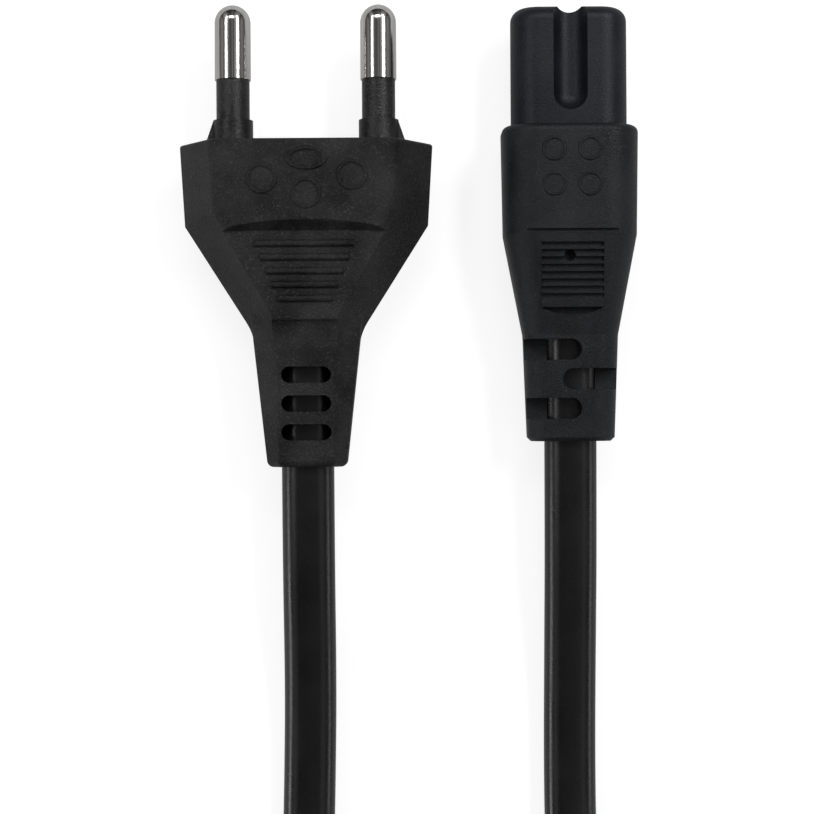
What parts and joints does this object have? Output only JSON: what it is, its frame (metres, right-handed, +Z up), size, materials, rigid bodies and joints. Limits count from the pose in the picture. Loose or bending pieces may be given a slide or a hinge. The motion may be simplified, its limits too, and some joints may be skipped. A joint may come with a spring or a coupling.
{
  "type": "power cord",
  "caption": "Flat two-core mains cord with a sleeved two-pin plug and a figure-of-eight appliance connector, its spare length folded into a tied hank.",
  "frame": {"origin": "on the surface the cord lies on, below the middle of the box round plug and connector together", "axes": "+Y from the cable towards the tips of the plug's pins, +X from the plug towards the connector, +Z up"},
  "size_m": [0.0677, 0.2528, 0.0156],
  "materials": {
    "soft_black_moulding": "fine spark-eroded grain, satin",
    "hard_black_plastic": "smooth, slight gloss",
    "nickel_plate": "bright nickel plating with fine drawn lines",
    "brown_insulation": "smooth PVC",
    "blue_insulation": "smooth PVC",
    "copper": "bare bunched copper strands",
    "connector_black_moulding": "satin, very fine grain",
    "nose_black_plastic": "smooth satin",
    "contact_brass": "bright sprung brass",
    "black_cable_sheath": "smooth and slightly glossy",
    "black_strap": "woven hook-and-loop strap"
  },
  "bodies": {
    "root": {"plug_body": "soft_black_moulding", "pin_carrier": "hard_black_plastic", "pin_left": "nickel_plate", "pin_right": "nickel_plate", "pin_sleeve_left": "hard_black_plastic", "pin_sleeve_right": "hard_black_plastic", "plug_core_brown": "brown_insulation", "plug_core_blue": "blue_insulation", "plug_strands_brown": "copper", "plug_strands_blue": "copper", "connector_body": "connector_black_moulding", "connector_nose": "nose_black_plastic", "contact_left": "contact_brass", "contact_right": "contact_brass", "connector_core_brown": "brown_insulation", "connector_core_blue": "blue_insulation", "connector_strands_brown": "copper", "connector_strands_blue": "copper", "cable_plug_lead": "black_cable_sheath", "cable_connector_lead": "black_cable_sheath", "cable_hank": "black_cable_sheath", "hank_tie": "black_strap"}
  },
  "joints": []
}
